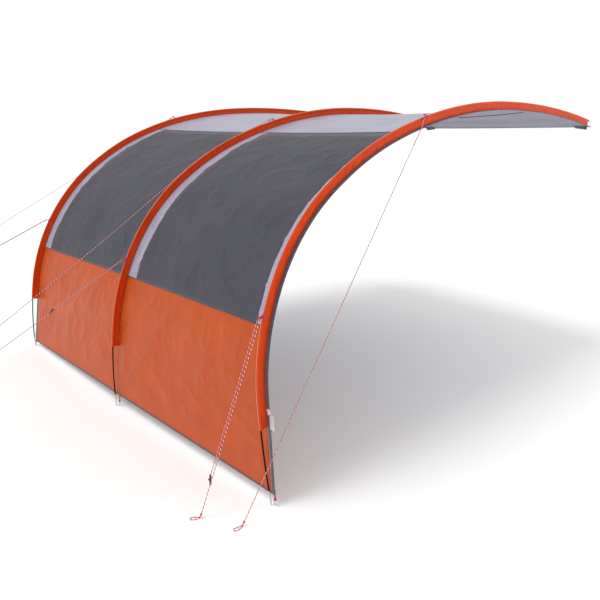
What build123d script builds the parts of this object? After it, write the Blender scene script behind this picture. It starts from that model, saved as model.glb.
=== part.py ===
from build123d import *
import math
import os

os.makedirs("parts", exist_ok=True)

# Open-sided tunnel shelter. Three bent poles stand along one long wall, arch over and carry the roof
# out to a free edge. +X runs from the wall to the free edge, +Y from the front arch to the rear one,
# +Z up. The origin is on the ground, in the middle of the shelter's footprint. Millimetres and degrees.

# ---- driving dimensions ----
bay_length = 1750.0          # from one arch to the next
wall_line_x = -1748.0        # where the arches' own X zero stands
section_length = 619.0       # one pole section
section_count = 8
pole_length = section_length * section_count
pole_radius = 4.75
pole_bore = 2.8
fin_depth = 50.0             # from the pole's centre in to the wall and roof cloth
cloth = 2.0                  # thickness of the stand-in for a cloth panel
gap = 0.4                    # between neighbouring solids
rope_radius = 2.25
strand_gap = 20.0            # between the two strands of a low guy line
foot_inset = 8.0             # from a pole's foot in to the cloth's line at the ground

# Every arch: where its foot stands, the lean of its first section from the vertical (positive towards
# the free edge), how much each section bends, and arc lengths of the seams and tabs along the pole.
arches = {
    "front": dict(y=-bay_length, foot_x=50, lean=-11.1, bends=(6.5, 27, 30.3, 17.5, 10.4, 9.2, 5.7, 5.8),
                  hem=66, low_seam=1010, high_seam=2655, low_tab=1075, high_tab=2800),
    "middle": dict(y=0.0, foot_x=-30, lean=-5.6, bends=(11, 23.2, 24.8, 15.4, 10, 9.9, 6.6, 9.5),
                   hem=85, low_seam=985, high_seam=2700, low_tab=1100, high_tab=2870),
    "rear": dict(y=bay_length, foot_x=-28, lean=-4.8, bends=(11.9, 21.9, 22.1, 16.2, 11.5, 8.1, 4.8, 3.3),
                 hem=45, low_seam=955, high_seam=2700, low_tab=1210, high_tab=2920),
}
names = list(arches)


def save(part, label):
    """Labels a finished piece and writes its STEP file."""
    part.label = label
    export_step(part, f"parts/{label}.step")


# ---- the arch curve ----
def pole_point(arch, s, out=0.0):
    """Point (x, z) at arc length s along the pole, moved outwards by out."""
    x, z, heading = wall_line_x + arch["foot_x"], 0.0, math.radians(arch["lean"])
    left = s
    for bend in arch["bends"]:
        turn = math.radians(bend)
        radius = section_length / turn
        part = min(left, section_length) / section_length * turn
        x += radius * (math.cos(heading) - math.cos(heading + part))
        z += radius * (math.sin(heading + part) - math.sin(heading))
        heading += part
        left -= section_length
        if left <= 0:
            break
    return Vector(x - out * math.cos(heading), z + out * math.sin(heading))


def pole_direction(arch, s):
    """Unit tangent (x, z) of the pole at arc length s, going up from the foot."""
    step = 0.5
    return (pole_point(arch, s + step) - pole_point(arch, s - step)).normalized()


def wall_point(arch, s, out=0.0):
    """Point (x, z) of the cloth: a straight leg to the first pole joint, then the pole's inner side."""
    if s >= section_length:
        return pole_point(arch, s, out - fin_depth)
    joint = pole_point(arch, section_length, out - fin_depth)
    foot = Vector(wall_line_x + arch["foot_x"] + foot_inset - out, 0)
    return foot + (joint - foot) * (s / section_length)


def cloth_point(y, s, out=0.0):
    """Point (x, z) of the cloth at any y: straight across from one arch to the next."""
    y = max(-bay_length, min(bay_length, y))
    near, far = (arches["front"], arches["middle"]) if y < 0 else (arches["middle"], arches["rear"])
    share = (y - near["y"]) / bay_length
    return wall_point(near, s, out) * (1 - share) + wall_point(far, s, out) * share


def seam(y, key):
    """Arc length of a seam or hem at any y."""
    y = max(-bay_length, min(bay_length, y))
    near, far = (arches["front"], arches["middle"]) if y < 0 else (arches["middle"], arches["rear"])
    share = (y - near["y"]) / bay_length
    return near[key] * (1 - share) + far[key] * share


def stations(low, high):
    """Arc lengths from low to high with every pole joint between them."""
    joints = [n * section_length for n in range(1, section_count)]
    return [low] + [j for j in joints if low + 1 < j < high - 1] + [high]


def flat(point):
    """A point of an outline as the (x, z) pair that a sketch line takes."""
    return point.X, point.Y


def run_along(point, low, high, straight_leg=True):
    """Edges through point(s) from low to high: a line on the straight leg, arcs elsewhere."""
    marks = stations(low, high)
    for start, end in zip(marks, marks[1:]):
        a, m, b = (flat(point(s)) for s in (start, (start + end) / 2, end))
        if straight_leg and end <= section_length:
            Line(a, b)
        else:
            ThreePointArc(a, m, b)


def cloth_strip(y, low, high, inner, outer):
    """Closed outline of a sheet seen along Y, from arc length low to high."""
    with BuildSketch(Plane.XZ.offset(-y)) as strip:
        with BuildLine():
            run_along(lambda s: cloth_point(y, s, inner), low, high)
            run_along(lambda s: cloth_point(y, s, outer), low, high)
            Line(flat(cloth_point(y, low, inner)), flat(cloth_point(y, low, outer)))
            Line(flat(cloth_point(y, high, inner)), flat(cloth_point(y, high, outer)))
        make_face()
    return strip


def cloth_sheet(y_near, y_far, low, high, inner=-cloth / 2, outer=cloth / 2, bays=1):
    """A sheet between two planes; low and high give the arc length of its edges at any y."""
    places = [y_near + (y_far - y_near) * n / bays for n in range(bays + 1)]
    ends = [cloth_strip(y, low(y), high(y), inner, outer).sketch.face() for y in places]
    with BuildPart() as sheet:
        loft(sections=ends, ruled=True)
    return sheet


def pole_path(arch, low, high, out=0.0):
    """The pole's centre line from low to high as a wire in the arch's own plane."""
    with BuildLine(Plane.XZ.offset(-arch["y"])) as path:
        run_along(lambda s: pole_point(arch, s, out), low, high, straight_leg=False)
    return path.wire()


def tube_along(path, outer, inner=0.0):
    """A round rod or tube swept along a path."""
    with BuildPart() as tube:
        with BuildSketch(Plane(path @ 0, z_dir=path % 0)):
            Circle(outer)
            if inner:
                Circle(inner, mode=Mode.SUBTRACT)
        sweep(path=path)
    return tube


# ---- poles ----
pin_length = 90.0
pin_tip = 0.3                # height of the pin's point above the ground
ferrule_length = 56.0
cap_length = 18.0
ferrules = []
cords = []
pins = []
caps = []
for name in names:
    arch = arches[name]
    sections = []
    for n in range(section_count):
        start = max(n * section_length + 0.2, pin_length + 0.7)
        end = (n + 1) * section_length - (cap_length if n == section_count - 1 else 0.2)
        sections.append(tube_along(pole_path(arch, start, end), pole_radius, pole_bore).part)
        if n:
            middle = n * section_length
            path = pole_path(arch, middle - ferrule_length / 2, middle + ferrule_length / 2)
            ferrules.append(tube_along(path, pole_radius + 0.95, pole_radius + 0.05).part)
    save(Compound(children=sections), f"{name}_pole")
    cords.append(tube_along(pole_path(arch, pin_length + 30, pole_length - cap_length - 16), 1.5).part)

    # foot pin: round tip, plain body, collar and a stem inside the pole
    top = pole_point(arch, pin_length)
    foot = pole_point(arch, 0)
    with BuildPart() as pin:
        with BuildSketch(Plane(origin=(foot.X, arch["y"], pin_tip), x_dir=(0, 1, 0),
                               z_dir=(top.Y - pin_tip, 0, foot.X - top.X))):
            with BuildLine():
                ThreePointArc((0, 0), (2.7, 1.1), (3.8, 3.8))
                Polyline((3.8, 3.8), (3.8, pin_length - 12), (5.2, pin_length - 8), (5.2, pin_length),
                         (2.3, pin_length), (2.3, pin_length + 22), (0, pin_length + 22), (0, 0))
            make_face()
        revolve(axis=Axis((foot.X, arch["y"], pin_tip), (top.X - foot.X, 0, top.Y - pin_tip)))
    pins.append(pin.part)

    # end cap: a plug in the pole's far end with a round head
    end = pole_point(arch, pole_length - cap_length)
    way = pole_direction(arch, pole_length - cap_length)
    axis = Plane(origin=(end.X, arch["y"], end.Y), z_dir=(way.X, 0, way.Y))
    with BuildPart() as cap:
        with BuildSketch(axis.offset(-14)):
            Circle(2.4)
        extrude(amount=14)
        with BuildSketch(axis):
            Circle(pole_radius)
        extrude(amount=cap_length)
        fillet(cap.edges().group_by(Axis(axis.origin, axis.z_dir))[-1], 2.0)
    caps.append(cap.part)
save(Compound(children=ferrules), "pole_ferrules")
save(Compound(children=cords), "shock_cords")
save(Compound(children=pins), "foot_pins")
save(Compound(children=caps), "pole_end_caps")


# ---- sleeves: a cloth fin on each arch with a channel along its outer edge for the pole ----
channel_radius = 8.2
channel_bore = 6.5
fin_thickness = 3.0
sleeve_start = 455.0
sleeve_stop = pole_length - 62.0
sleeve_gap = 0.3             # between the sleeve's sections, which end at the pole's joints
for name in names:
    arch = arches[name]
    marks = stations(sleeve_start, sleeve_stop)
    sleeve_parts = []
    for start, end in zip(marks, marks[1:]):
        path = pole_path(arch, start + sleeve_gap, end)
        across = path % 0
        with BuildPart() as sleeve:
            # local x runs inwards, from the pole to the cloth
            with BuildSketch(Plane(path @ 0, x_dir=(across.Z, 0, -across.X), z_dir=across)):
                Circle(channel_radius)
                with Locations((fin_depth / 2, 0)):
                    Rectangle(fin_depth + cloth, fin_thickness)
                Circle(channel_bore, mode=Mode.SUBTRACT)
            sweep(path=path)
        sleeve_parts.append(sleeve.part)
    save(Compound(children=sleeve_parts), f"{name}_sleeve")

# ---- cloth panels of the two bays ----
edge = fin_thickness / 2 + gap          # panels start this far from an arch's plane
border_width = 140.0         # beside the rear arch of each bay
front_border_width = 110.0   # beside its front arch
hem_height = 12.0
free_hem = 14.0
curtain_depth = 24.0
curtain_lap = 30.0           # how far the curtain reaches past the window at its sides and stops short at the top
curtain_foot = 12.0
bays = {"front_bay": ("front", "middle"), "rear_bay": ("middle", "rear")}
for bay, (near, far) in bays.items():
    y0, y1 = arches[near]["y"] + edge, arches[far]["y"] - edge
    y2, y3 = y0 + front_border_width, y1 - border_width
    low, high = (lambda y: seam(y, "low_seam")), (lambda y: seam(y, "high_seam"))
    lower_wall = cloth_sheet(y0, y1, lambda y: seam(y, "hem") + hem_height + gap, lambda y: low(y) - gap / 2)
    save(lower_wall.part, f"{bay}_lower_wall")
    side = (lambda y: low(y) + gap / 2), (lambda y: high(y) - gap / 2)
    save(cloth_sheet(y0, y2 - gap / 2, *side).part, f"{bay}_front_border")
    save(cloth_sheet(y3 + gap / 2, y1, *side).part, f"{bay}_rear_border")
    save(cloth_sheet(y2 + gap / 2, y3 - gap / 2, *side).part, f"{bay}_window_mesh")
    curtain = cloth_sheet(y2 - curtain_lap, y3 + curtain_lap, lambda y: low(y) + curtain_foot,
                          lambda y: high(y) - curtain_lap, -curtain_depth - cloth / 2, -curtain_depth + cloth / 2)
    save(curtain.part, f"{bay}_curtain")
    roof = cloth_sheet(y0, y1, lambda y: high(y) + gap / 2, lambda y: pole_length - free_hem - gap)
    save(roof.part, f"{bay}_roof")

# ---- tapes: the hem along the ground, the two open ends and the free edge ----
tape_width = 26.0
tape = 3.4
hem_bays = 6                 # divisions of a hem along Y, because it twists a little from arch to arch
hems = [cloth_sheet(arches[near]["y"] + edge, arches[far]["y"] - edge, lambda y: seam(y, "hem"),
                    lambda y: seam(y, "hem") + hem_height, -tape / 2, tape / 2, hem_bays).part
        for near, far in bays.values()]
save(Compound(children=hems), "ground_hem_tape")
free_edges = [cloth_sheet(arches[near]["y"] + edge, arches[far]["y"] - edge,
                          lambda y: pole_length - free_hem, lambda y: pole_length - 1,
                          -tape / 2, tape / 2).part for near, far in bays.values()]
save(Compound(children=free_edges), "free_edge_tape")
for name, side in (("front", -1), ("rear", 1)):
    arch = arches[name]
    y0, y1 = arch["y"] + side * edge, arch["y"] + side * (edge + tape_width)
    marks = stations(arch["hem"], pole_length - 1)
    edge_tapes = [cloth_sheet(y0, y1, lambda y: start + sleeve_gap, lambda y: end, -tape / 2, tape / 2).part
                  for start, end in zip(marks, marks[1:])]
    save(Compound(children=edge_tapes), f"{name}_edge_tape")

# ---- corner patches: a stiff flap hanging from the free edge beside each pole's end ----
patch_width = 100.0
patch_drop = 26.0
patch_sewn = free_hem + 4    # from the pole's end down to the patch's outer and inner seams
patch_back = 58.0
patches = []
for name, side in (("front", 1), ("middle", -1), ("rear", -1)):
    y = arches[name]["y"] + side * (edge + 2)
    with BuildPart() as patch:
        for where, drop in ((y, patch_drop), (y + side * patch_width, patch_drop / 2)):
            a = cloth_point(where, pole_length - patch_sewn, -cloth / 2 - gap)
            b = cloth_point(where, pole_length - patch_back, -cloth / 2 - gap)
            with BuildSketch(Plane.XZ.offset(-where)):
                Polygon(flat(a), flat(b), (b.X + 6, b.Y - 2.5), (a.X - 1.0, a.Y - drop), (a.X + 1.4, a.Y - drop),
                        align=None)
        loft(ruled=True)
    patches.append(patch.part)
save(Compound(children=patches), "free_edge_patches")


# ---- frames and straps ----
def cloth_plane(y, s, out=0.0):
    """Plane on the cloth: local x towards the front, local y up along the cloth, local z outwards."""
    here, up = cloth_point(y, s, out), cloth_point(y, s + 1, out) - cloth_point(y, s - 1, out)
    return Plane(origin=(here.X, y, here.Y), x_dir=(0, -1, 0), z_dir=(-up.Y, 0, up.X))


def solid_on(plane, thickness, outline, hole=None, hole_at=(0, 0)):
    """A flat piece: a sketch shape, less a hole, pushed half the thickness each way."""
    with BuildPart() as piece:
        with BuildSketch(plane):
            outline()
            if hole:
                with Locations(hole_at):
                    hole()
        extrude(amount=thickness / 2, both=True)
    return piece.part


# ---- guy lines ----
# Every guy line runs from a webbing tab on a sleeve to a loop for a peg or a branch. A low one is
# doubled through its tab and back to a slider, a high one is tied to its tab. "tip" is the outer end
# of the tab, which the rope turns round. "route" is the rest of the rope's way.
across_y = Vector(0, 1, 0)
tab_height = 8.6
tab_width = 11.4
eye_length = 18.0
eye_height = 6.2
knot_radius = 8.0
knot_length = 14.0
leg_gap = 2.5                # from a loop's middle to each leg where it leaves its knot
loop_half = 11.0
loop_length = 52.0
bight = 4.5                  # radius of the rope's turn round a tab
tie_length = 26.0            # from a tab's tip to a high guy line's knot
tie_gap = 26.0               # between the two strands of the tie where it turns round the tab
tail_from = 14.0             # from a tab's tip to where a low guy line's tail takes over
low_guys = {
    "front": dict(tip=(-1771, -1748, 1054), end=(-2049, -1605, 27), slider=890, at_ground=True),
    "middle": dict(tip=(-1693.5, 0, 1084), end=(-2640, -10, 562), slider=593, at_ground=False),
    "rear": dict(tip=(-1619.5, 1750, 1183), end=(-2163, 1740, 932), slider=500, at_ground=False),
}
high_guys = {
    "front": dict(shift=-8, tip=(-491, -1759, 2107), at_ground=True,
                  route=[(-537, -1784, 2044), (-1915, -1805, 27)]),
    "middle": dict(shift=8, tip=(-301, 8, 2108), at_ground=False,
                   route=[(-520, 11, 2025), (-700, 11, 1955), (-880, 11, 1873), (-1060, 11, 1773),
                          (-1850, 11, 1214), (-2640, 11, 698)]),
    "rear": dict(shift=8, tip=(-252, 1759, 2150), at_ground=False, route=[(-2126, 1900, 1076)]),
}


def rope(points, radii, label=""):
    """A rope swept along straight runs and tangent arcs, with its length and volume printed."""
    with BuildPart() as tube:
        with BuildLine() as path:
            if radii:
                FilletPolyline(*points, radius=radii)
            else:
                Line(*points)
        wire = path.wire()
        with BuildSketch(Plane(wire @ 0, z_dir=wire % 0)):
            Circle(rope_radius)
        sweep(path=wire)
    if label:
        length = wire.length
        ratio = tube.part.volume / (math.pi * rope_radius**2 * length)
        print(f"{label}: length {length:.1f}, radii {[round(r, 1) for r in radii]}, volume ratio {ratio:.4f}")
    return tube.part


def arc_radii(points):
    """Arc radii for a route: 0.45 of the shorter run over the tangent of half the turn."""
    radii = []
    for a, b, c in zip(points, points[1:], points[2:]):
        turn = math.radians((b - a).get_angle(c - b))
        radii.append(0.45 * min((b - a).length, (c - b).length) / math.tan(turn / 2))
    return radii


def knot(start, toward):
    """A barrel-shaped knot from its start face on."""
    with BuildPart() as barrel:
        with BuildSketch(Plane(origin=start, z_dir=toward)):
            Circle(knot_radius)
        extrude(amount=knot_length)
        fillet(barrel.edges(), 2.6)
    return barrel.part


def tab(arch, s, shift, tip):
    """A closed loop of webbing on the sleeve; the rope turns in the eye, round the tab's tip."""
    root = pole_point(arch, s, channel_radius + gap + tab_height / 2)
    root = Vector(root.X, arch["y"] + shift, root.Y)
    along = tip - root
    eye_at = (along.length - eye_length + eye_height) / 2
    plane = Plane(origin=(root + tip) / 2, x_dir=along, z_dir=across_y)
    return solid_on(plane, tab_width, lambda: SlotCenterToCenter(along.length, tab_height),
                    lambda: SlotOverall(eye_length, eye_height, mode=Mode.SUBTRACT), (eye_at, 0))


def peg_loop(end, toward, at_ground):
    """The knot at a guy line's end and its loop, which lies on the ground if it is near it."""
    start = end + toward * knot_length
    lie = Vector(toward.X, toward.Y, 0).normalized() if at_ground else toward
    side = Vector(toward.Y, -toward.X, 0).normalized()
    base, turns = start, []
    if at_ground:
        base = start + toward * ((start.Z - rope_radius - 0.4) / -toward.Z)
        turns = [leg_gap + 1]
    legs = [(turn, 0) for turn in turns] + [(loop_half, loop_length / 2), (loop_half, loop_length)]
    there = [start + side * leg_gap] + [base + side * x + lie * y for x, y in legs]
    back = [base - side * x + lie * y for x, y in reversed(legs)] + [start - side * leg_gap]
    points = there + back
    radii = [min(radius, 30) for radius in arc_radii(points)]
    return [knot(end, toward), rope(points, radii)]


tabs = []
loops = []
knots = []
tail_knot_length = 9.0
bar_length = 52.0
bar_width = 11.0
bar_thickness = 4.0
bar_tilt = math.radians(30)  # between a tensioned slider and its strands
for name, guy in low_guys.items():
    arch = arches[name]
    tip, end = Vector(*guy["tip"]), Vector(*guy["end"])
    half = across_y * strand_gap / 2
    toward = (end - (tip - half)).normalized()
    tabs.append(tab(arch, arch["low_tab"], 0, tip))
    points = [tip + half + toward * tail_from, tip + half, tip - half, end]
    save(rope(points, [bight, bight], f"{name}_low_guy_line"), f"{name}_low_guy_line")
    middle = tip + toward * guy["slider"]
    tail_points = [points[0], middle + half + toward * 5]
    save(rope(tail_points, [], f"{name}_low_guy_tail"), f"{name}_low_guy_tail")
    loops += peg_loop(end, toward, guy["at_ground"])

    # slider: a tilted bar with a bore for each strand
    side = (across_y - toward * across_y.dot(toward)).normalized()
    along = toward * math.cos(bar_tilt) - side * math.sin(bar_tilt)
    strand_at = half.dot(side)
    with BuildPart() as slider:
        with BuildSketch(Plane(origin=middle, x_dir=along, z_dir=along.cross(toward.cross(side)))):
            SlotOverall(bar_length, bar_width)
        extrude(amount=bar_thickness / 2, both=True)
        with BuildSketch(Plane(origin=middle, x_dir=side, z_dir=toward)):
            with Locations((strand_at, 0), (-strand_at, 0)):
                Circle(rope_radius + 0.35)
        extrude(amount=bar_length, both=True, mode=Mode.SUBTRACT)
    save(slider.part, f"{name}_slider")
    knot_plane = Plane(origin=middle + half - toward * 2, x_dir=side, z_dir=toward)
    with BuildPart() as tail_knot:
        with BuildSketch(knot_plane):
            Circle(6)
        extrude(amount=tail_knot_length)
        fillet(tail_knot.edges(), 2)
        with BuildSketch(knot_plane):
            Circle(rope_radius + 0.35)
        extrude(amount=tail_knot_length, mode=Mode.SUBTRACT)
    save(tail_knot.part, f"{name}_tail_knot")

for name, guy in high_guys.items():
    arch = arches[name]
    tip, route = Vector(*guy["tip"]), [Vector(*point) for point in guy["route"]]
    toward = (route[0] - tip).normalized()
    tabs.append(tab(arch, arch["high_tab"], guy["shift"], tip))
    near = tip + toward * tie_length
    half = across_y * tie_gap / 2
    leg = across_y * leg_gap
    knots += [knot(near, toward), rope([near + leg, tip + half, tip - half, near - leg], [bight, bight])]
    points = [near + toward * knot_length] + route
    save(rope(points, arc_radii(points), f"{name}_high_guy_line"), f"{name}_high_guy_line")
    loops += peg_loop(points[-1], (points[-1] - points[-2]).normalized(), guy["at_ground"])
save(Compound(children=tabs), "guy_tabs")
save(Compound(children=knots), "high_guy_knots")
save(Compound(children=loops), "guy_end_loops")

# ---- peg rings: one at each foot, hanging in a loop of webbing sewn inside the hem ----
ring_radius = 16.0
ring_bore = 12.5
ring_height = 23.0
ring_side = 20.5             # from the arch's plane to the ring's middle
strap_in = 3.8               # from the cloth's middle in to the strap
strap_width = 12.0
strap = 3.0
strap_from = 5.6             # the two sewn layers start this far above the ring's hinge line
strap_lap = 30.0             # and end this far above the hem
turn_radius = 4.0            # inside the webbing's turn round the ring, whose lower arc is on the hinge line
turn_rise = 0.7
webbings = []
for name, side in (("front", -1), ("middle", -1), ("rear", 1)):
    arch = arches[name]
    y = arch["y"] + side * ring_side
    with BuildPart() as ring:
        with BuildSketch(cloth_plane(y, ring_height, -strap_in)):
            Circle(ring_radius)
            Circle(ring_bore, mode=Mode.SUBTRACT)
        extrude(amount=(ring_radius - ring_bore) / 2, both=True)
        fillet(ring.edges().filter_by(GeomType.CIRCLE).sort_by(SortBy.RADIUS)[-2:], 1.2)
    save(ring.part, f"{name}_peg_ring")
    hinge = ring_height + (ring_radius + ring_bore) / 2
    here = cloth_plane(y, hinge, -strap_in)
    strap_to = arch["hem"] + strap_lap - hinge
    with BuildPart() as webbing:
        with BuildSketch(Plane(origin=here.origin, x_dir=here.y_dir, z_dir=(0, 1, 0))):
            with Locations((turn_rise, 0)):
                SlotCenterToCenter(2 * turn_rise, 2 * turn_radius + strap)
            with Locations(((strap_from + strap_to) / 2, 0)):
                Rectangle(strap_to - strap_from, strap)
            with Locations((turn_rise, 0)):
                SlotCenterToCenter(2 * turn_rise, 2 * turn_radius, mode=Mode.SUBTRACT)
        extrude(amount=strap_width / 2, both=True)
    webbings.append(webbing.part)
save(Compound(children=webbings), "foot_webbings")

# ---- curtain toggles: a short bar on a webbing between each window and its curtain ----
toggle_at = {"front_bay": (-1130.0, 1225.0), "rear_bay": (600.0, 1225.0)}
toggle_in = 12.0
toggle_straps = []
for bay, (y, s) in toggle_at.items():
    pivot = cloth_plane(y, s, -toggle_in)
    with BuildPart() as toggle:
        with BuildSketch(pivot):
            with Locations((0, -16)):
                SlotOverall(44, 9, rotation=90)
            Circle(2.4, mode=Mode.SUBTRACT)
        extrude(amount=3, both=True)
        fillet(toggle.edges().group_by(SortBy.LENGTH)[-1], 1)
    save(toggle.part, f"{bay}_toggle")
    with BuildPart() as strap_and_pin:
        with BuildSketch(pivot.offset(5)):
            with Locations((0, 26)):
                Rectangle(10, 62)
        extrude(amount=0.75, both=True)
        with BuildSketch(pivot.offset(-4)):
            Circle(2)
        extrude(amount=8.5)
        with BuildSketch(pivot.offset(-5)):
            Circle(3.6)
        extrude(amount=1.2)
    toggle_straps.append(strap_and_pin.part)
save(Compound(children=toggle_straps), "toggle_webbings")

# ---- care label on the front edge tape, and a hang tag that swings from the label's lower corner ----
label_at = 548.0
label_out = tape / 2 + 0.7
label_width = 26.0
label_height = 34.0
label_y = -bay_length - edge - 19.5
label = cloth_plane(label_y, label_at, label_out)
save(solid_on(label, 0.8, lambda: Rectangle(label_width, label_height, rotation=20)), "care_label")
tag_at = label.location * Location((12, -14, 0))
tag_plane = Plane(tag_at)
tag_gap = 2.2
with BuildPart() as tag_stud:
    with BuildSketch(tag_plane.offset(0.5)):
        Circle(1.4)
    extrude(amount=4.4)
    with BuildSketch(tag_plane.offset(tag_gap + 1.3)):
        Circle(3.0)
    extrude(amount=1.4)
save(tag_stud.part, "hang_tag_stud")
tag_width = 38.0
tag_length = 86.0
eyelet_at = (20.0, -18.0)
with BuildPart() as hang_tag:
    with BuildSketch(tag_plane.offset(tag_gap)):
        with Locations((tag_width / 2 - 5, 5 - tag_length / 2)):
            RectangleRounded(tag_width, tag_length, 4.5)
        Circle(2.0, mode=Mode.SUBTRACT)
        with Locations(eyelet_at):
            Circle(2.4, mode=Mode.SUBTRACT)
    extrude(amount=0.5, both=True)
save(hang_tag.part, "hang_tag")
with BuildPart() as eyelet:
    with BuildSketch(tag_plane.offset(tag_gap)):
        with Locations(eyelet_at):
            Circle(2.35)
            Circle(1.2, mode=Mode.SUBTRACT)
    extrude(amount=0.9, both=True)
save(eyelet.part, "hang_tag_eyelet")

# ---- tie strap: a straight webbing under the roof, just behind the front arch ----
tie_start = Vector(-94, 2096)
tie_end = Vector(684, 2144)
tie_y = -bay_length + 20
tie_width = 8.0
tie_below = 3.4              # the folded strap reaches this far under the line and 1.6 over it
tie_above = 1.6
with BuildPart() as tie:
    with BuildSketch(Plane.XZ.offset(-tie_y)):
        Polygon((tie_start.X, tie_start.Y - tie_below), (tie_end.X, tie_end.Y - tie_below),
                (tie_end.X, tie_end.Y + tie_above), (tie_start.X, tie_start.Y + tie_above), align=None)
    extrude(amount=tie_width / 2, both=True)
save(tie.part, "roof_tie_strap")
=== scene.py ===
import bpy, math
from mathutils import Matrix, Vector, noise


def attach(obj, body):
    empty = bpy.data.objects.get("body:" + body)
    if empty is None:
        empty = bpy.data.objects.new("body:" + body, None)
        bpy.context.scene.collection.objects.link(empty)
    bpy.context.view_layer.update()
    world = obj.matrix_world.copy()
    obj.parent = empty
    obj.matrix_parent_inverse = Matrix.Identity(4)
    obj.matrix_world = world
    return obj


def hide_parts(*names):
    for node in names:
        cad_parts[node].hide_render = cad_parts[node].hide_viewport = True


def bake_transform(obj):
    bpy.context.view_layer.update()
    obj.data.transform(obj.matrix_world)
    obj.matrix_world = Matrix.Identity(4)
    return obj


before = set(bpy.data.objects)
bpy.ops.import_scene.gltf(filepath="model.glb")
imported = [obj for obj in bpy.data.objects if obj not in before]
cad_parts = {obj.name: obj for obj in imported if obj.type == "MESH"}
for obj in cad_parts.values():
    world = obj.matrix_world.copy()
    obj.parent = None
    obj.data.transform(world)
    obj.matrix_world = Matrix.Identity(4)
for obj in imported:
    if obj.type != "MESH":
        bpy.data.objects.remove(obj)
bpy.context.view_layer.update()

# The arches and seams as the CAD has them, in metres: lean and bend of each pole section in degrees,
# arc lengths along the pole for the seams and the tabs.
tent = dict(bay=1.750, wallLineX=-1.748, section=0.619, sections=8, finDepth=0.050, footInset=0.008,
            sleeveStart=0.455, sleeveStopsShort=0.024, border=0.140, frontBorder=0.110,
            curtainDepth=0.024, freeHem=0.014, panelGap=0.0019)
arches = {
    "front": dict(y=-1.75, footX=0.050, lean=-11.1, bends=(6.5, 27, 30.3, 17.5, 10.4, 9.2, 5.7, 5.8),
                  hem=0.066, lowSeam=1.010, highSeam=2.655, lowTab=1.075, highTab=2.800),
    "middle": dict(y=0.0, footX=-0.030, lean=-5.6, bends=(11, 23.2, 24.8, 15.4, 10, 9.9, 6.6, 9.5),
                   hem=0.085, lowSeam=0.985, highSeam=2.700, lowTab=1.100, highTab=2.870),
    "rear": dict(y=1.75, footX=-0.028, lean=-4.8, bends=(11.9, 21.9, 22.1, 16.2, 11.5, 8.1, 4.8, 3.3),
                 hem=0.045, lowSeam=0.955, highSeam=2.700, lowTab=1.210, highTab=2.920),
}
poleLength = tent["section"] * tent["sections"]
# yaw and pitch in degrees, lens and sensor in millimetres
camera = dict(place=(-3.714, -4.350, 2.017), yaw=49.53, pitch=7.48, lens=39.0, sensor=36, shiftY=-0.1417)


def makeCamera():
    data = bpy.data.cameras.new("camera")
    data.lens = camera["lens"]
    data.sensor_width = camera["sensor"]
    data.shift_y = camera["shiftY"]
    obj = bpy.data.objects.new("camera", data)
    bpy.context.collection.objects.link(obj)
    obj.location = camera["place"]
    obj.rotation_euler = (math.radians(90 - camera["pitch"]), 0, math.radians(camera["yaw"] - 90))
    bpy.context.scene.camera = obj


def fromHex(code):
    # sRGB hex to the linear colour that a shader takes
    parts = [int(code[i:i + 2], 16) / 255 for i in (1, 3, 5)]
    return tuple(p / 12.92 if p <= 0.04045 else ((p + 0.055) / 1.055) ** 2.4 for p in parts) + (1,)


def addNode(tree, kind, settings=None, links=None):
    # a node with its settings, which are sockets by name or number, or else its own properties
    node = tree.nodes.new(kind)
    for name, value in (settings or {}).items():
        if isinstance(name, int) or name in node.inputs:
            node.inputs[name].default_value = value
        else:
            setattr(node, name, value)
    for name, source in (links or {}).items():
        tree.links.new(source, node.inputs[name])
    return node


def startMaterial(name, settings):
    material = bpy.data.materials.new(name)
    material.use_nodes = True
    tree = material.node_tree
    shader = tree.nodes["Principled BSDF"]
    for socket, value in settings.items():
        shader.inputs[socket].default_value = value
    return material, tree, shader


mixFrom, mixTo, mixResult = 6, 7, 2  # the colour sockets of a mix node
crumpleNoise = {"Scale": 22.0, "Detail": 5.0, "Roughness": 0.6, "Distortion": 0.8}
crumpleDepth = 0.004


def threadBump(tree, shader, spacing, strength, depth, crease=0.0):
    # warp and weft as two crossed sets of ridges, over a slow crumple; UVs are in metres
    uv = addNode(tree, "ShaderNodeUVMap")
    cut = addNode(tree, "ShaderNodeSeparateXYZ", links={0: uv.outputs[0]})
    ridges = []
    for side in (0, 1):
        scaled = addNode(tree, "ShaderNodeMath", {"operation": "MULTIPLY", 1: math.pi / spacing},
                         {0: cut.outputs[side]})
        wave = addNode(tree, "ShaderNodeMath", {"operation": "SINE"}, {0: scaled.outputs[0]})
        ridges.append(addNode(tree, "ShaderNodeMath", {"operation": "ABSOLUTE"}, {0: wave.outputs[0]}))
    height = addNode(tree, "ShaderNodeMath", {"operation": "ADD"},
                     {0: ridges[0].outputs[0], 1: ridges[1].outputs[0]})
    bump = addNode(tree, "ShaderNodeBump", {"Strength": strength, "Distance": depth},
                   {"Height": height.outputs[0]})
    if crease:
        slow = addNode(tree, "ShaderNodeTexNoise", crumpleNoise, {"Vector": uv.outputs[0]})
        bump = addNode(tree, "ShaderNodeBump", {"Strength": crease, "Distance": crumpleDepth},
                       {"Height": slow.outputs["Fac"], "Normal": bump.outputs[0]})
    tree.links.new(bump.outputs[0], shader.inputs["Normal"])
    return uv, cut


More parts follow.
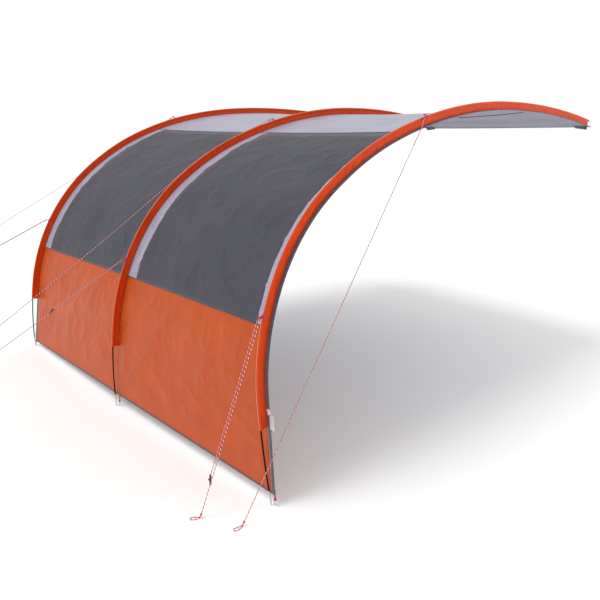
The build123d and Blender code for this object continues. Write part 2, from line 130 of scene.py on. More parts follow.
def mottled(tree, shader, uv, darkHex, lightHex, scale):
    # cloth is never one colour: a soft cloudiness between two close tones
    cloud = addNode(tree, "ShaderNodeTexNoise", {"Scale": scale, "Detail": 6.0, "Roughness": 0.62},
                    {"Vector": uv.outputs[0]})
    share = addNode(tree, "ShaderNodeMapRange", {"From Min": 0.35, "From Max": 0.7},
                    {"Value": cloud.outputs["Fac"]})
    mix = addNode(tree, "ShaderNodeMix",
                  {"data_type": "RGBA", mixFrom: fromHex(darkHex), mixTo: fromHex(lightHex)},
                  {0: share.outputs[0]})
    tree.links.new(mix.outputs[mixResult], shader.inputs["Base Color"])
    return mix


# thread, grid and line in metres; lineShare is how much the thick threads darken the face
ripstop = dict(roughness=0.40, sheen=0.03, thread=0.0012, threadStrength=0.25, threadDepth=0.0003,
               crease=0.45, cloud=5.0, grid=0.006, line=0.0004, lineShare=0.35, lineTone=(0.6, 0.6, 0.6, 1))


def ripstopPolyester(name, darkHex, lightHex, look):
    # coated ripstop: a plain weave with a thicker thread every few millimetres, a satin face
    material, tree, shader = startMaterial(name, {
        "Roughness": look["roughness"], "IOR": 1.5, "Sheen Weight": look["sheen"], "Sheen Roughness": 0.45,
        "Specular IOR Level": 0.22})
    uv, cut = threadBump(tree, shader, look["thread"], look["threadStrength"], look["threadDepth"],
                         look["crease"])
    mix = mottled(tree, shader, uv, darkHex, lightHex, look["cloud"])
    near = []
    for side in (0, 1):
        ping = addNode(tree, "ShaderNodeMath", {"operation": "PINGPONG", 1: look["grid"] / 2},
                       {0: cut.outputs[side]})
        near.append(addNode(tree, "ShaderNodeMath", {"operation": "LESS_THAN", 1: look["line"]},
                            {0: ping.outputs[0]}))
    lines = addNode(tree, "ShaderNodeMath", {"operation": "MAXIMUM"},
                    {0: near[0].outputs[0], 1: near[1].outputs[0]})
    share = addNode(tree, "ShaderNodeMath", {"operation": "MULTIPLY", 1: look["lineShare"]},
                    {0: lines.outputs[0]})
    lined = addNode(tree, "ShaderNodeMix",
                    {"data_type": "RGBA", "blend_type": "MULTIPLY", mixTo: look["lineTone"]},
                    {0: share.outputs[0], mixFrom: mix.outputs[mixResult]})
    tree.links.new(lined.outputs[mixResult], shader.inputs["Base Color"])
    return material


def mosquitoMesh():
    # knitted mosquito mesh: so fine that it reads as a smoky film with the curtain behind it
    material, tree, shader = startMaterial("mosquitoMesh", {"Roughness": 0.55, "IOR": 1.45, "Alpha": 0.82,
                                                            "Sheen Weight": 0.06})
    uv = threadBump(tree, shader, spacing=0.0024, strength=0.4, depth=0.0004, crease=0.5)[0]
    mottled(tree, shader, uv, "#3c3c48", "#494955", scale=2.6)
    return material


def curtainTaffeta():
    # uncoated taffeta: thin, soft folds, almost no gloss
    material, tree, shader = startMaterial("curtainTaffeta", {"Roughness": 0.7, "IOR": 1.45,
                                                              "Sheen Weight": 0.2})
    uv = threadBump(tree, shader, spacing=0.0012, strength=0.3, depth=0.0003, crease=0.7)[0]
    mottled(tree, shader, uv, "#34343e", "#45454f", scale=4.0)
    return material


def wovenTape(name, darkHex, lightHex, ribs=0.0022, roughness=0.6):
    # woven narrow fabric: deep ribs, a soft sheen and a close mottle
    material, tree, shader = startMaterial(name, {"Roughness": roughness, "IOR": 1.48, "Sheen Weight": 0.25})
    uv = threadBump(tree, shader, spacing=ribs, strength=0.7, depth=0.0006)[0]
    mottled(tree, shader, uv, darkHex, lightHex, scale=30.0)
    return material


# the tracer's pitch is drawn twice the real 12 mm so that it shows at arm's length
braid = dict(tracerPitch=0.024, tracerShare=0.30, plaitPitch=0.0016, lanes=8.0)


def braidedRope():
    # braided polyester: red cover with pale reflective tracers that wind round it
    material, tree, shader = startMaterial("braidedRope", {"Roughness": 0.55, "IOR": 1.48,
                                                           "Sheen Weight": 0.3})
    uv = addNode(tree, "ShaderNodeUVMap")
    cut = addNode(tree, "ShaderNodeSeparateXYZ", links={0: uv.outputs[0]})
    along = addNode(tree, "ShaderNodeMath", {"operation": "MULTIPLY", 1: 1 / braid["tracerPitch"]},
                    {0: cut.outputs[1]})
    wound = addNode(tree, "ShaderNodeMath", {"operation": "ADD"}, {0: along.outputs[0], 1: cut.outputs[0]})
    turn = addNode(tree, "ShaderNodeMath", {"operation": "FRACT"}, {0: wound.outputs[0]})
    tracer = addNode(tree, "ShaderNodeMath", {"operation": "LESS_THAN", 1: braid["tracerShare"]},
                     {0: turn.outputs[0]})
    mix = addNode(tree, "ShaderNodeMix",
                  {"data_type": "RGBA", mixFrom: fromHex("#a90d30"), mixTo: fromHex("#efdcdc")},
                  {0: tracer.outputs[0]})
    tree.links.new(mix.outputs[mixResult], shader.inputs["Base Color"])
    plaits = []
    for sign in (1, -1):
        lane = addNode(tree, "ShaderNodeMath", {"operation": "MULTIPLY", 1: braid["lanes"] * sign},
                       {0: cut.outputs[0]})
        climb = addNode(tree, "ShaderNodeMath", {"operation": "MULTIPLY_ADD", 1: 1 / braid["plaitPitch"]},
                        {0: cut.outputs[1], 2: lane.outputs[0]})
        plaits.append(addNode(tree, "ShaderNodeMath", {"operation": "PINGPONG", 1: 1.0},
                              {0: climb.outputs[0]}))
    height = addNode(tree, "ShaderNodeMath", {"operation": "MAXIMUM"},
                     {0: plaits[0].outputs[0], 1: plaits[1].outputs[0]})
    bump = addNode(tree, "ShaderNodeBump", {"Strength": 0.6, "Distance": 0.0005},
                   {"Height": height.outputs[0]})
    tree.links.new(bump.outputs[0], shader.inputs["Normal"])
    return material


marksRange = (0.75, 1.3)  # handling marks, from glossier to duller than the metal's own roughness


def turnedMetal(name, hexCode, roughness):
    # drawn tube and turned pin: a fine grain, a few brighter handling marks
    material, tree, shader = startMaterial(name, {"Metallic": 1.0, "Roughness": roughness,
                                                  "Base Color": fromHex(hexCode)})
    place = addNode(tree, "ShaderNodeTexCoord")
    marks = addNode(tree, "ShaderNodeTexNoise", {"Scale": 260.0, "Detail": 4.0},
                    {"Vector": place.outputs["Object"]})
    rough = addNode(tree, "ShaderNodeMapRange",
                    {"To Min": roughness * marksRange[0], "To Max": roughness * marksRange[1]},
                    {"Value": marks.outputs["Fac"]})
    tree.links.new(rough.outputs[0], shader.inputs["Roughness"])
    bump = addNode(tree, "ShaderNodeBump", {"Strength": 0.08, "Distance": 0.0003},
                   {"Height": marks.outputs["Fac"]})
    tree.links.new(bump.outputs[0], shader.inputs["Normal"])
    return material


def mouldedPlastic(name, darkHex, lightHex, roughness, alpha=1.0):
    # moulded or cast plastic: a fine spark-eroded grain and slightly uneven colour
    material, tree, shader = startMaterial(name, {"Roughness": roughness, "IOR": 1.5, "Alpha": alpha})
    place = addNode(tree, "ShaderNodeTexCoord")
    grain = addNode(tree, "ShaderNodeTexNoise", {"Scale": 900.0, "Detail": 3.0},
                    {"Vector": place.outputs["Object"]})
    mix = addNode(tree, "ShaderNodeMix",
                  {"data_type": "RGBA", mixFrom: fromHex(darkHex), mixTo: fromHex(lightHex)},
                  {0: grain.outputs["Fac"]})
    tree.links.new(mix.outputs[mixResult], shader.inputs["Base Color"])
    bump = addNode(tree, "ShaderNodeBump", {"Strength": 0.2, "Distance": 0.0002},
                   {"Height": grain.outputs["Fac"]})
    tree.links.new(bump.outputs[0], shader.inputs["Normal"])
    return material


def makeMaterials():
    print("materials")
    silverCloth, insideRoughness = dict(ripstop, cloud=3.0), 0.5
    return dict(
        orange=ripstopPolyester("orangeRipstop", "#b24500", "#c34e03", ripstop),
        orangeInside=ripstopPolyester("orangeRipstopBack", "#a04206", "#ad4a0a",
                                      dict(ripstop, roughness=insideRoughness)),
        silver=ripstopPolyester("silverRipstop", "#9d9cb0", "#abaabb", dict(silverCloth, roughness=0.36)),
        silverInside=ripstopPolyester("silverRipstopBack", "#7f7f92", "#8b8b9c",
                                      dict(silverCloth, roughness=insideRoughness)),
        sleeve=ripstopPolyester("sleeveRipstop", "#cd3b00", "#dd4702", dict(ripstop, crease=0.30)),
        window=mosquitoMesh(),
        curtain=curtainTaffeta(),
        seam=wovenTape("seamBinding", "#2e2e39", "#3a3a46"),
        # the sleeves' pale peach cord is a painted highlight along the pole channel's outer fold, not a real
        # piping
        paintedHighlight=wovenTape("sleevePaintedHighlight", "#dfa27c", "#eab592"),
        tape=wovenTape("bindingTape", "#404050", "#4f4f60"),
        patch=wovenTape("patchCloth", "#2f2f3b", "#3d3d4a"),
        redWebbing=wovenTape("redWebbing", "#b3122c", "#cf1c38"),
        blackWebbing=wovenTape("blackWebbing", "#15151a", "#23232a"),
        label=wovenTape("satinLabel", "#e9e9ec", "#f6f6f8", ribs=0.0014, roughness=0.4),
        rope=braidedRope(),
        pole=turnedMetal("blackAnodisedTube", "#101012", roughness=0.35),
        ferrule=turnedMetal("clearAnodisedTube", "#a8a9ad", roughness=0.32),
        steel=turnedMetal("zincPlatedSteel", "#c2c2c6", roughness=0.3),
        blackPlastic=mouldedPlastic("blackNylon", "#0b0b0d", "#17171a", roughness=0.45),
        redPlastic=mouldedPlastic("redNylon", "#9c1622", "#b21f2c", roughness=0.45),
        clearPlastic=mouldedPlastic("clearVinyl", "#c9c6c8", "#d8d5d6", roughness=0.3, alpha=0.72),
        shockCord=wovenTape("shockCordCover", "#151517", "#202024"),
    )


def polePoint(arch, s, out=0.0):
    x, z, heading, left = tent["wallLineX"] + arch["footX"], 0.0, math.radians(arch["lean"]), s
    for bend in arch["bends"]:
        turn = math.radians(bend)
        radius = tent["section"] / turn
        part = min(left, tent["section"]) / tent["section"] * turn
        x += radius * (math.cos(heading) - math.cos(heading + part))
        z += radius * (math.sin(heading + part) - math.sin(heading))
        heading += part
        left -= tent["section"]
        if left <= 0:
            break
    return Vector((x - out * math.cos(heading), arch["y"], z + out * math.sin(heading)))


def wallPoint(arch, s, out=0.0):
    # the cloth's own line: straight up to the first pole joint, then along the pole's inner side
    if s >= tent["section"]:
        return polePoint(arch, s, out - tent["finDepth"])
    joint = polePoint(arch, tent["section"], out - tent["finDepth"])
    foot = Vector((tent["wallLineX"] + arch["footX"] + tent["footInset"] - out, arch["y"], 0))
    return foot.lerp(joint, s / tent["section"])


def poleFrame(arch, s):
    # a place on the pole with the way outwards from it
    nudge = 0.001
    up = (polePoint(arch, s + nudge) - polePoint(arch, s - nudge)).normalized()
    return polePoint(arch, s), Vector((-up.z, 0, up.x))


def between(y):
    y = max(-tent["bay"], min(tent["bay"], y))
    near, far = (arches["front"], arches["middle"]) if y < 0 else (arches["middle"], arches["rear"])
    return near, far, (y - near["y"]) / tent["bay"]


def seam(y, key):
    near, far, share = between(y)
    return near[key] * (1 - share) + far[key] * share


def clothPoint(y, s, out=0.0):
    near, far, share = between(y)
    point = wallPoint(near, s, out).lerp(wallPoint(far, s, out), share)
    point.y = y
    return point


def clothFrame(y, s, out=0.0):
    # a place on the cloth with the ways up along it and outwards
    nudge = 0.002
    up = (clothPoint(y, s + nudge, out) - clothPoint(y, s - nudge, out)).normalized()
    return clothPoint(y, s, out), up, Vector((-up.z, 0, up.x))


# how far the pitched cloth stands off its straight lines between the arches, in metres
slackness = dict(belly=0.004, roofBelly=0.014, wallFold=0.0095, windowFold=0.0065, roofFold=0.008,
                 curtainFold=0.007, curtainBack=0.3, offToggle=0.002)
# the folds just above the roof's seam: height and pitch in metres, lean from arch to arch in radians
strains = dict(height=0.0012, pitch=0.055, lean=9, reach=0.05)
# the gathers of the border strips: height, pitch, reach and fade in metres, the rest shares of a turn
gathers = dict(height=0.0055, pitch=0.032, least=0.25, reach=0.60, fade=0.03, wander=1.6, slant=6,
               noiseUp=7.0, noiseAcross=9.0, seed=50)
# how far from each thing that holds it the cloth comes free, in metres
holds = dict(arch=0.10, hem=0.25, freeEdge=0.20, seam=0.10, roofSeam=0.20, ripple=0.12, toggle=0.14)
freeEdgeShare = 0.25  # of the folds is left at the free edge
roofBellyStart, roofBellyOver = 0.3, 0.7
baySeeds = {"front_bay": 3.0, "rear_bay": 11.0}
togglePlaces = {"front_bay": (-1.130, 1.225), "rear_bay": (0.600, 1.225)}  # y, and arc length up the cloth
bayTitles = {"front_bay": "frontBay", "rear_bay": "rearBay"}

# each fold: its weight, its crest power (0 for a plain wave), how its noise runs as multiples of y and s
# in two directions, and what it adds to the bay's seed
folds = dict(
    wall=((1, 0, 2.2, 1.6, -0.5, 1.2, 0), (0.8, 5, 2.6, 2.2, -0.8, 1.5, 5),
          (0.45, 9, 6.5, 4.5, -2.0, 5.0, 7)),
    underSeam=((0.35, 0, 26, 0, 0, 6.0, 9),),
    window=((1, 0, 1.7, 0.6, -0.9, 2.8, 20), (0.9, 6, 3.4, -2.3, 1.2, 4.6, 31),
            (0.5, 9, 8.0, -3.0, 3.0, 9.0, 37)),
    roof=((1, 0, 0.6, 0.9, -0.8, 6.0, 40),),
    curtain=((0.6, 0, 7.0, 0.8, 0, 0.9, 61), (0.7, 5, 2.0, -2.6, 1, 3.4, 67)))


def ease(value):
    value = max(0.0, min(1.0, value))
    return value * value * (3 - 2 * value)


def foldSum(panel, y, s, seed=0.0):
    total = 0.0
    for weight, power, y1, s1, y2, s2, own in folds[panel]:
        wave = noise.noise(Vector((y * y1 + s * s1, y * y2 + s * s2, seed + own)))
        total += weight * ((1 - abs(wave)) ** power if power else wave)
    return total


def gathered(s, above, fromArch, width, toSeam, seed):
    # the border strips are gathered into their seam, most where the arch is steep
    steep = gathers["least"] + math.exp(-above / gathers["reach"])
    band = math.sin(math.pi * (fromArch / width))
    wander = noise.noise(Vector((s * gathers["noiseUp"], fromArch * gathers["noiseAcross"],
                                 seed + gathers["seed"])))
    turns = s / gathers["pitch"] + gathers["wander"] * wander + fromArch * gathers["slant"]
    wave = math.sin(2 * math.pi * turns)
    return gathers["height"] * steep * band * wave * min(1.0, toSeam / gathers["fade"])


def slack(y, s):
    bay = "front_bay" if y < 0 else "rear_bay"
    seed = baySeeds[bay]
    share = between(y)[2]
    lowSeam, highSeam = seam(y, "lowSeam"), seam(y, "highSeam")
    fromArch = min(share, 1 - share) * tent["bay"]
    toSeam = min(abs(s - lowSeam), abs(s - highSeam))
    over = ease((s - highSeam + roofBellyStart) / roofBellyOver)
    belly = -(slackness["belly"] * (1 - over) + slackness["roofBelly"] * over) * 4 * share * (1 - share)
    if s < lowSeam:
        # long soft folds that lean towards the guy tabs, with short ripples under the seam
        ripple = foldSum("underSeam", y, s, seed) * math.exp(-(lowSeam - s) / holds["ripple"])
        fold = slackness["wallFold"] * (foldSum("wall", y, s, seed) + ripple)
    elif s < highSeam:
        fold = slackness["windowFold"] * foldSum("window", y, s, seed)
    else:
        # tension folds that run from arch to arch, closest together just above the seam
        above = s - highSeam
        strain = math.sin(2 * math.pi * above / strains["pitch"] + strains["lean"] * share)
        fold = slackness["roofFold"] * foldSum("roof", y, s, seed) * ease(above / holds["roofSeam"])
        fold += strains["height"] * strain * math.exp(-above / strains["reach"])
    low = ease((s - seam(y, "hem")) / holds["hem"])
    top = max(ease((poleLength - s) / holds["freeEdge"]), freeEdgeShare)
    offset = ease(fromArch / holds["arch"]) * (belly + fold * ease(toSeam / holds["seam"])) * low * top
    width = tent["frontBorder"] if share < 0.5 else tent["border"]
    if lowSeam < s < highSeam and fromArch < width:
        offset += gathered(s, s - lowSeam, fromArch, width, toSeam, seed)
    toggle = togglePlaces[bay]
    clear = ease(math.hypot(y - toggle[0], s - toggle[1]) / holds["toggle"])
    return offset * clear + slackness["offToggle"] * (1 - clear)


def curtainSlack(y, s):
    # the rolled-down curtain hangs in loose upright folds behind the window
    return slackness["curtainFold"] * (foldSum("curtain", y, s) - slackness["curtainBack"])


def linked(name, mesh, material):
    obj = bpy.data.objects.new(name, mesh)
    bpy.context.collection.objects.link(obj)
    obj.data.materials.append(material)
    return obj


def meshFrom(name, points, faces, material, uvs):
    # uvs: one pair for each point, in metres
    mesh = bpy.data.meshes.new(name)
    mesh.from_pydata([tuple(p) for p in points], [], faces)
    mesh.update()
    layer = mesh.uv_layers.new(name="cloth")
    for loop in mesh.loops:
        layer.data[loop.index].uv = uvs[loop.vertex_index]
    mesh.polygons.foreach_set("use_smooth", [True] * len(mesh.polygons))
    return linked(name, mesh, material)


def gridFaces(rows, columns, turned=False):
    # quads between neighbouring rows of points
    faces = []
    for j in range(rows):
        for i in range(columns):
            a = j * (columns + 1) + i
            b = a + columns + 1
            faces.append((a, b, b + 1, a + 1) if turned else (a, a + 1, b + 1, b))
    return faces


def ringFaces(rings, size, capped=True):
    # quads between neighbouring rings of points, and a face on each end
    faces = []
    for k in range(rings - 1):
        for i in range(size):
            a, b = k * size + i, k * size + (i + 1) % size
            faces.append((a, b, b + size, a + size))
    if capped:
        faces.append(tuple(reversed(range(size))))
        faces.append(tuple(range((rings - 1) * size, rings * size)))
    return faces


def thicken(obj, thickness, inside=None):
    if inside:
        obj.data.materials.append(inside)
    modifier = obj.modifiers.new("thickness", "SOLIDIFY")
    modifier.thickness = thickness
    modifier.offset = 0
    modifier.material_offset = 1 if inside else 0
    return obj


cloth = dict(thickness=0.0006, step=0.013, borderStep=0.006, fewest=6)


def makePanel(name, ySpan, low, high, nodes, material, inside=None, out=0.0, shape=slack, step=cloth["step"]):
    # one sheet between two seams; low and high give the seams' arc lengths at any y
    yLow, yHigh = ySpan
    middle = (yLow + yHigh) / 2
    columns = max(cloth["fewest"], round((yHigh - yLow) / step))
    rows = max(cloth["fewest"], round((high(middle) - low(middle)) / step))
    points, uvs = [], []
    for j in range(rows + 1):
        for i in range(columns + 1):
            y = yLow + (yHigh - yLow) * i / columns
            s = low(y) + (high(y) - low(y)) * j / rows
            here, _, normal = clothFrame(y, s, out)
            points.append(here + normal * shape(y, s))
            uvs.append((y, s))
    mesh = meshFrom(name, points, gridFaces(rows, columns, turned=True), material, uvs)
    obj = thicken(mesh, cloth["thickness"], inside)
    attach(obj, "root")
    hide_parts(*nodes)
    high(middle) - low(middle)
    return obj


# a strap's section with rounded edges, as shares of its width and its thickness
strapSection = ((-0.5, -0.30), (-0.46, -0.5), (0.46, -0.5), (0.5, -0.30),
                (0.5, 0.30), (0.46, 0.5), (-0.46, 0.5), (-0.5, 0.30))


def ribbon(name, path, across, normals, width, thickness, material):
    # a flat strap along a path; across and normals are one way for each point
    points, uvs, along = [], [], 0.0
    for k, point in enumerate(path):
        if k:
            along += (point - path[k - 1]).length
        for a, b in strapSection:
            points.append(point + across[k] * (a * width) + normals[k] * (b * thickness))
            uvs.append((a * width, along))
    return meshFrom(name, points, ringFaces(len(path), len(strapSection)), material, uvs)


def tubeParts(path, radius, sides=10):
    # rings of a round rope along its middle line, with the turn round it and the length along it as UVs
    points, uvs, along = [], [], 0.0
    side = None
    last = len(path) - 1
    for k, point in enumerate(path):
        way = (path[min(k + 1, last)] - path[max(k - 1, 0)]).normalized()
        if side is None:
            side = way.orthogonal().normalized()
        side = (side - way * side.dot(way)).normalized()
        other = way.cross(side)
        along += (point - path[k - 1]).length if k else 0.0
        for i in range(sides):
            angle = 2 * math.pi * i / sides
            points.append(point + (side * math.cos(angle) + other * math.sin(angle)) * radius)
            uvs.append((i / sides, along))
    return points, ringFaces(len(path), sides), uvs


def joinParts(name, parts, material):
    points, faces, uvs = [], [], []
    for morePoints, moreFaces, moreUvs in parts:
        faces += [tuple(i + len(points) for i in face) for face in moreFaces]
        points += morePoints
        uvs += moreUvs
    return meshFrom(name, points, faces, material, uvs)


def splinePoints(route, steps=14):
    # the points that Blender's own NURBS gives for a route
    curve = bpy.data.curves.new("route", "CURVE")
    curve.dimensions = "3D"
    spline = curve.splines.new("NURBS")
    spline.points.add(len(route) - 1)
    for point, place in zip(spline.points, route):
        point.co = (*place, 1)
    spline.order_u = 3
    spline.use_endpoint_u = True
    spline.resolution_u = steps
    obj = bpy.data.objects.new("route", curve)
    mesh = bpy.data.meshes.new_from_object(obj)
    path = [vertex.co.copy() for vertex in mesh.vertices]
    bpy.data.objects.remove(obj)
    bpy.data.curves.remove(curve)
    bpy.data.meshes.remove(mesh)
    return path


# guy lines: tips of their tabs, route points and sliders in metres, the same as the CAD's
guyRope = dict(radius=0.00225, strandGap=0.020, clear=0.027, loopHalf=0.011, loopLength=0.052,
               tieLength=0.026, legGap=0.0025, tieGap=0.026, groundGap=0.0004, groundSpread=0.001,
               tiedAt=0.014, tailOverlap=0.005, tailFixed=0.030, tailKnotBack=0.002)
# slim is how far a knot's ends draw in, as a share of its width
knots = dict(length=0.014, tailLength=0.011, wind=0.0047, turns=3, steps=42, slim=0.55, fullness=0.4)
thinSides, loopSteps = 8, 10  # for the ropes' knots and loops
lowGuys = {
    "front": dict(tip=(-1.771, -1.748, 1.054), end=(-2.049, -1.605, 0.027), slider=0.890, atGround=True,
                  length=1.105, tailLength=0.881),
    "middle": dict(tip=(-1.6935, 0, 1.084), end=(-2.640, -0.010, 0.562), slider=0.593, atGround=False,
                   length=1.111, tailLength=0.584),
    "rear": dict(tip=(-1.6195, 1.750, 1.183), end=(-2.163, 1.740, 0.932), slider=0.500, atGround=False,
                 length=0.629, tailLength=0.491),
}
highGuys = {
    "front": dict(shift=-0.008, tip=(-0.491, -1.759, 2.107), atGround=True, length=2.4845,
                  route=[(-0.537, -1.784, 2.044), (-0.561, -1.7844, 2.009), (-1.915, -1.805, 0.027)]),
    "middle": dict(shift=0.008, tip=(-0.301, 0.008, 2.108), atGround=False, length=2.702,
                   route=[(-0.520, 0.011, 2.025), (-0.700, 0.011, 1.955), (-0.880, 0.011, 1.873),
                          (-1.060, 0.011, 1.773), (-1.228, 0.011, 1.654), (-1.850, 0.011, 1.214),
                          (-2.640, 0.011, 0.698)]),
    "rear": dict(shift=0.008, tip=(-0.252, 1.759, 2.150), atGround=False, length=2.1245,
                 route=[(-2.126, 1.900, 1.076)]),
}
acrossY = Vector((0, 1, 0))


def knotParts(start, toward, length=knots["length"]):
    # a wound knot: three turns of the rope round itself
    side = toward.orthogonal().normalized()
    other = toward.cross(side)
    wind = []
    for k in range(knots["steps"] + 1):
        share = k / knots["steps"]
        angle = 2 * math.pi * knots["turns"] * share
        swell = math.sin(math.pi * share) ** knots["fullness"]
        tuck = knots["wind"] * (knots["slim"] + (1 - knots["slim"]) * swell)
        middle = start + toward * (guyRope["radius"] + (length - 2 * guyRope["radius"]) * share)
        wind.append(middle + (side * math.cos(angle) + other * math.sin(angle)) * tuck)
    core = [start, start + toward * length]
    return [tubeParts(path, guyRope["radius"], thinSides) for path in (wind, core)]


def endLoop(name, end, toward, atGround, material):
    # the knot and loop that a peg goes through; on the ground it lies flat
    start = end + toward * knots["length"]
    lie = Vector((toward.x, toward.y, 0)).normalized() if atGround else toward
    side = Vector((toward.y, -toward.x, 0)).normalized()
    base, turns = start, []
    if atGround:
        base = start + toward * ((start.z - guyRope["radius"] - guyRope["groundGap"]) / -toward.z)
        turns = [guyRope["legGap"] + guyRope["groundSpread"]]
    legs = [(turn, 0) for turn in turns] + [(guyRope["loopHalf"], guyRope["loopLength"] / 2),
                                            (guyRope["loopHalf"], guyRope["loopLength"])]
    there = [start + side * guyRope["legGap"]] + [base + side * x + lie * y for x, y in legs]
    back = [base - side * x + lie * y for x, y in reversed(legs)] + [start - side * guyRope["legGap"]]
    loop = tubeParts(splinePoints(there + back, loopSteps), guyRope["radius"], thinSides)
    obj = joinParts(name, knotParts(end, toward) + [loop], material)
    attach(obj, "root")
    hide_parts("guy_end_loops")
    return obj


def makeLowGuy(end, guy, material):
    tip, far = Vector(guy["tip"]), Vector(guy["end"])
    half = acrossY * guyRope["strandGap"] / 2
    toward = (far - (tip - half)).normalized()
    tied = tip + half + toward * guyRope["tiedAt"]
    path = splinePoints([tied, tip + half, tip - half, tip - half + toward * guyRope["clear"], far])
    line = joinParts(f"{end}LowGuyLine", [tubeParts(path, guyRope["radius"])], material)
    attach(line, "root")
    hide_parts(f"{end}_low_guy_line")
    loop = endLoop(f"{end}LowEndLoop", far, toward, guy["atGround"], material)
    middle = tip + toward * guy["slider"]
    tailPath = splinePoints([tied, tied + toward * guyRope["clear"],
                             middle + half + toward * guyRope["tailOverlap"]])
    tail = joinParts(f"{end}LowGuyTail", [tubeParts(tailPath, guyRope["radius"])], material)
    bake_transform(tail)
    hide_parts(f"{end}_low_guy_tail")
    stopper = knotParts(middle + half - toward * guyRope["tailKnotBack"], toward, knots["tailLength"])
    knot = joinParts(f"{end}TailKnot", stopper, material)
    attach(knot, f"{end}_tensioner")
    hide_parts(f"{end}_tail_knot")


def makeHighGuy(end, guy, material):
    tip = Vector(guy["tip"])
    route = [Vector(point) for point in guy["route"]]
    toward = (route[0] - tip).normalized()
    near = tip + toward * guyRope["tieLength"]
    half, leg = acrossY * guyRope["tieGap"] / 2, acrossY * guyRope["legGap"]
    tieRoute = [near + leg, tip + half, tip - half, near - leg]
    tieLoop = tubeParts(splinePoints(tieRoute), guyRope["radius"], thinSides)
    tie = joinParts(f"{end}HighTieKnot", knotParts(near, toward) + [tieLoop], material)
    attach(tie, "root")
    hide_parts("high_guy_knots")
    start = near + toward * knots["length"]
    if len(route) == 1:
        route.insert(0, start + toward * guyRope["clear"])
    path = splinePoints([start] + route)
    line = joinParts(f"{end}HighGuyLine", [tubeParts(path, guyRope["radius"])], material)
    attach(line, "root")
    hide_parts(f"{end}_high_guy_line")
    away = (route[-1] - route[-2]).normalized()
    loop = endLoop(f"{end}HighEndLoop", route[-1], away, guy["atGround"], material)


def makeGuyLines(paint):
    print("guy lines")
    for end in arches:
        makeLowGuy(end, lowGuys[end], paint["rope"])
        makeHighGuy(end, highGuys[end], paint["rope"])


# radii, depths and pitches in metres; wrinkles run over the strip of cloth below the pole channel; the last
# four place the pale cord that paints the highlight along the channel's outer fold
sleeves = dict(channel=0.0078, channelEdge=0.008, loose=0.10, looseRates=(22, 160, 90), step=0.009,
               thickness=0.0005, wrinkle=0.0030, calm=0.35, lively=1.1, livelyRate=3.1, swellPower=0.8,
               flatFrom=0.98, stretch=1.02, longPitch=0.085, shortPitch=0.031, shortShare=0.5, wander=1.3,
               slant=0.8, highlightCordOut=0.0086, highlightCordRadius=0.0013, highlightCordInset=0.004, highlightCordSteps=220)
channelTurns = [math.radians(-150 + 30 * k) for k in range(11)]
finDepths = (-0.013, -0.020, -0.028, -0.037, -0.045, -tent["finDepth"] - 0.0008)
finHalves = (0.0020, 0.0014, 0.0012, 0.0011, 0.0010, 0.0009)


def sleeveSection(s):
    # outwards and sideways places round the sleeve: the pole channel, then both layers of the strip of cloth
    radius, edge = sleeves["channel"], sleeves["channelEdge"]
    ring = [(radius * math.cos(turn), radius * math.sin(turn)) for turn in channelTurns]
    ring += list(zip(finDepths, finHalves))
    ring += list(zip(reversed(finDepths), (-half for half in reversed(finHalves))))
    shaped = []
    for out, aside in ring:
        if out < -edge:
            # diagonal wrinkles where the strip is pulled between the pole and the panels
            depth = (-out - edge) / (tent["finDepth"] - edge)
            envelope = 0.0
            if depth < sleeves["flatFrom"]:
                envelope = math.sin(math.pi * min(1.0, depth * sleeves["stretch"])) ** sleeves["swellPower"]
            lively = abs(noise.noise(Vector((s * sleeves["livelyRate"], 5.0, 2.0))))
            strength = sleeves["calm"] + sleeves["lively"] * lively
            wander = sleeves["wander"] * noise.noise(Vector((s * 4, depth, 4.0)))
            long = s / sleeves["longPitch"] + depth * sleeves["slant"] + wander
            short = s / sleeves["shortPitch"] + wander - depth
            wave = math.sin(2 * math.pi * long) + sleeves["shortShare"] * math.sin(2 * math.pi * short)
            aside += sleeves["wrinkle"] * envelope * strength * wave
        else:
            # the channel is a little loose on the pole
            alongRate, asideRate, outRate = sleeves["looseRates"]
            bulge = noise.noise(Vector((s * alongRate, aside * asideRate, out * outRate)))
            swell = 1 + sleeves["loose"] * bulge
            out, aside = out * swell, aside * swell
        shaped.append((out, aside))
    return shaped


def makeSleeve(end, paint):
    low, high = tent["sleeveStart"], poleLength - tent["sleeveStopsShort"]
    steps = round((high - low) / sleeves["step"])
    points, uvs = [], []
    for k in range(steps + 1):
        s = low + (high - low) * k / steps
        middle, outward = poleFrame(arches[end], s)
        around = 0.0
        ring = sleeveSection(s)
        for i, (out, aside) in enumerate(ring):
            if i:
                around += math.hypot(out - ring[i - 1][0], aside - ring[i - 1][1])
            points.append(middle + outward * out + acrossY * aside)
            uvs.append((around, s))
    faces = ringFaces(steps + 1, len(ring), capped=False)
    obj = thicken(meshFrom(f"{end}Sleeve", points, faces, paint["sleeve"], uvs), sleeves["thickness"])
    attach(obj, "root")
    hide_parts(f"{end}_sleeve")


def makePaintedSleeveHighlight(end, material):
    # a pale peach cord on the sleeve's outer fold: a painted highlight where the rounded pole channel catches
    # the light
    low = tent["sleeveStart"] + sleeves["highlightCordInset"]
    high = poleLength - tent["sleeveStopsShort"] - sleeves["highlightCordInset"]
    count = sleeves["highlightCordSteps"]
    path = [polePoint(arches[end], low + (high - low) * k / count, sleeves["highlightCordOut"])
            for k in range(count + 1)]
    obj = joinParts(f"{end}SleevePaintedHighlight", [tubeParts(path, sleeves["highlightCordRadius"], thinSides)], material)
    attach(obj, "root")


# how far the curtain laps the borders and stops short of the high seam, and starts above the low one
curtainFit = dict(lap=0.030, foot=0.012)
hemTurn = 0.010  # of the lower wall is inside the hem tape
bays = (("front_bay", "front", "middle"), ("rear_bay", "middle", "rear"))


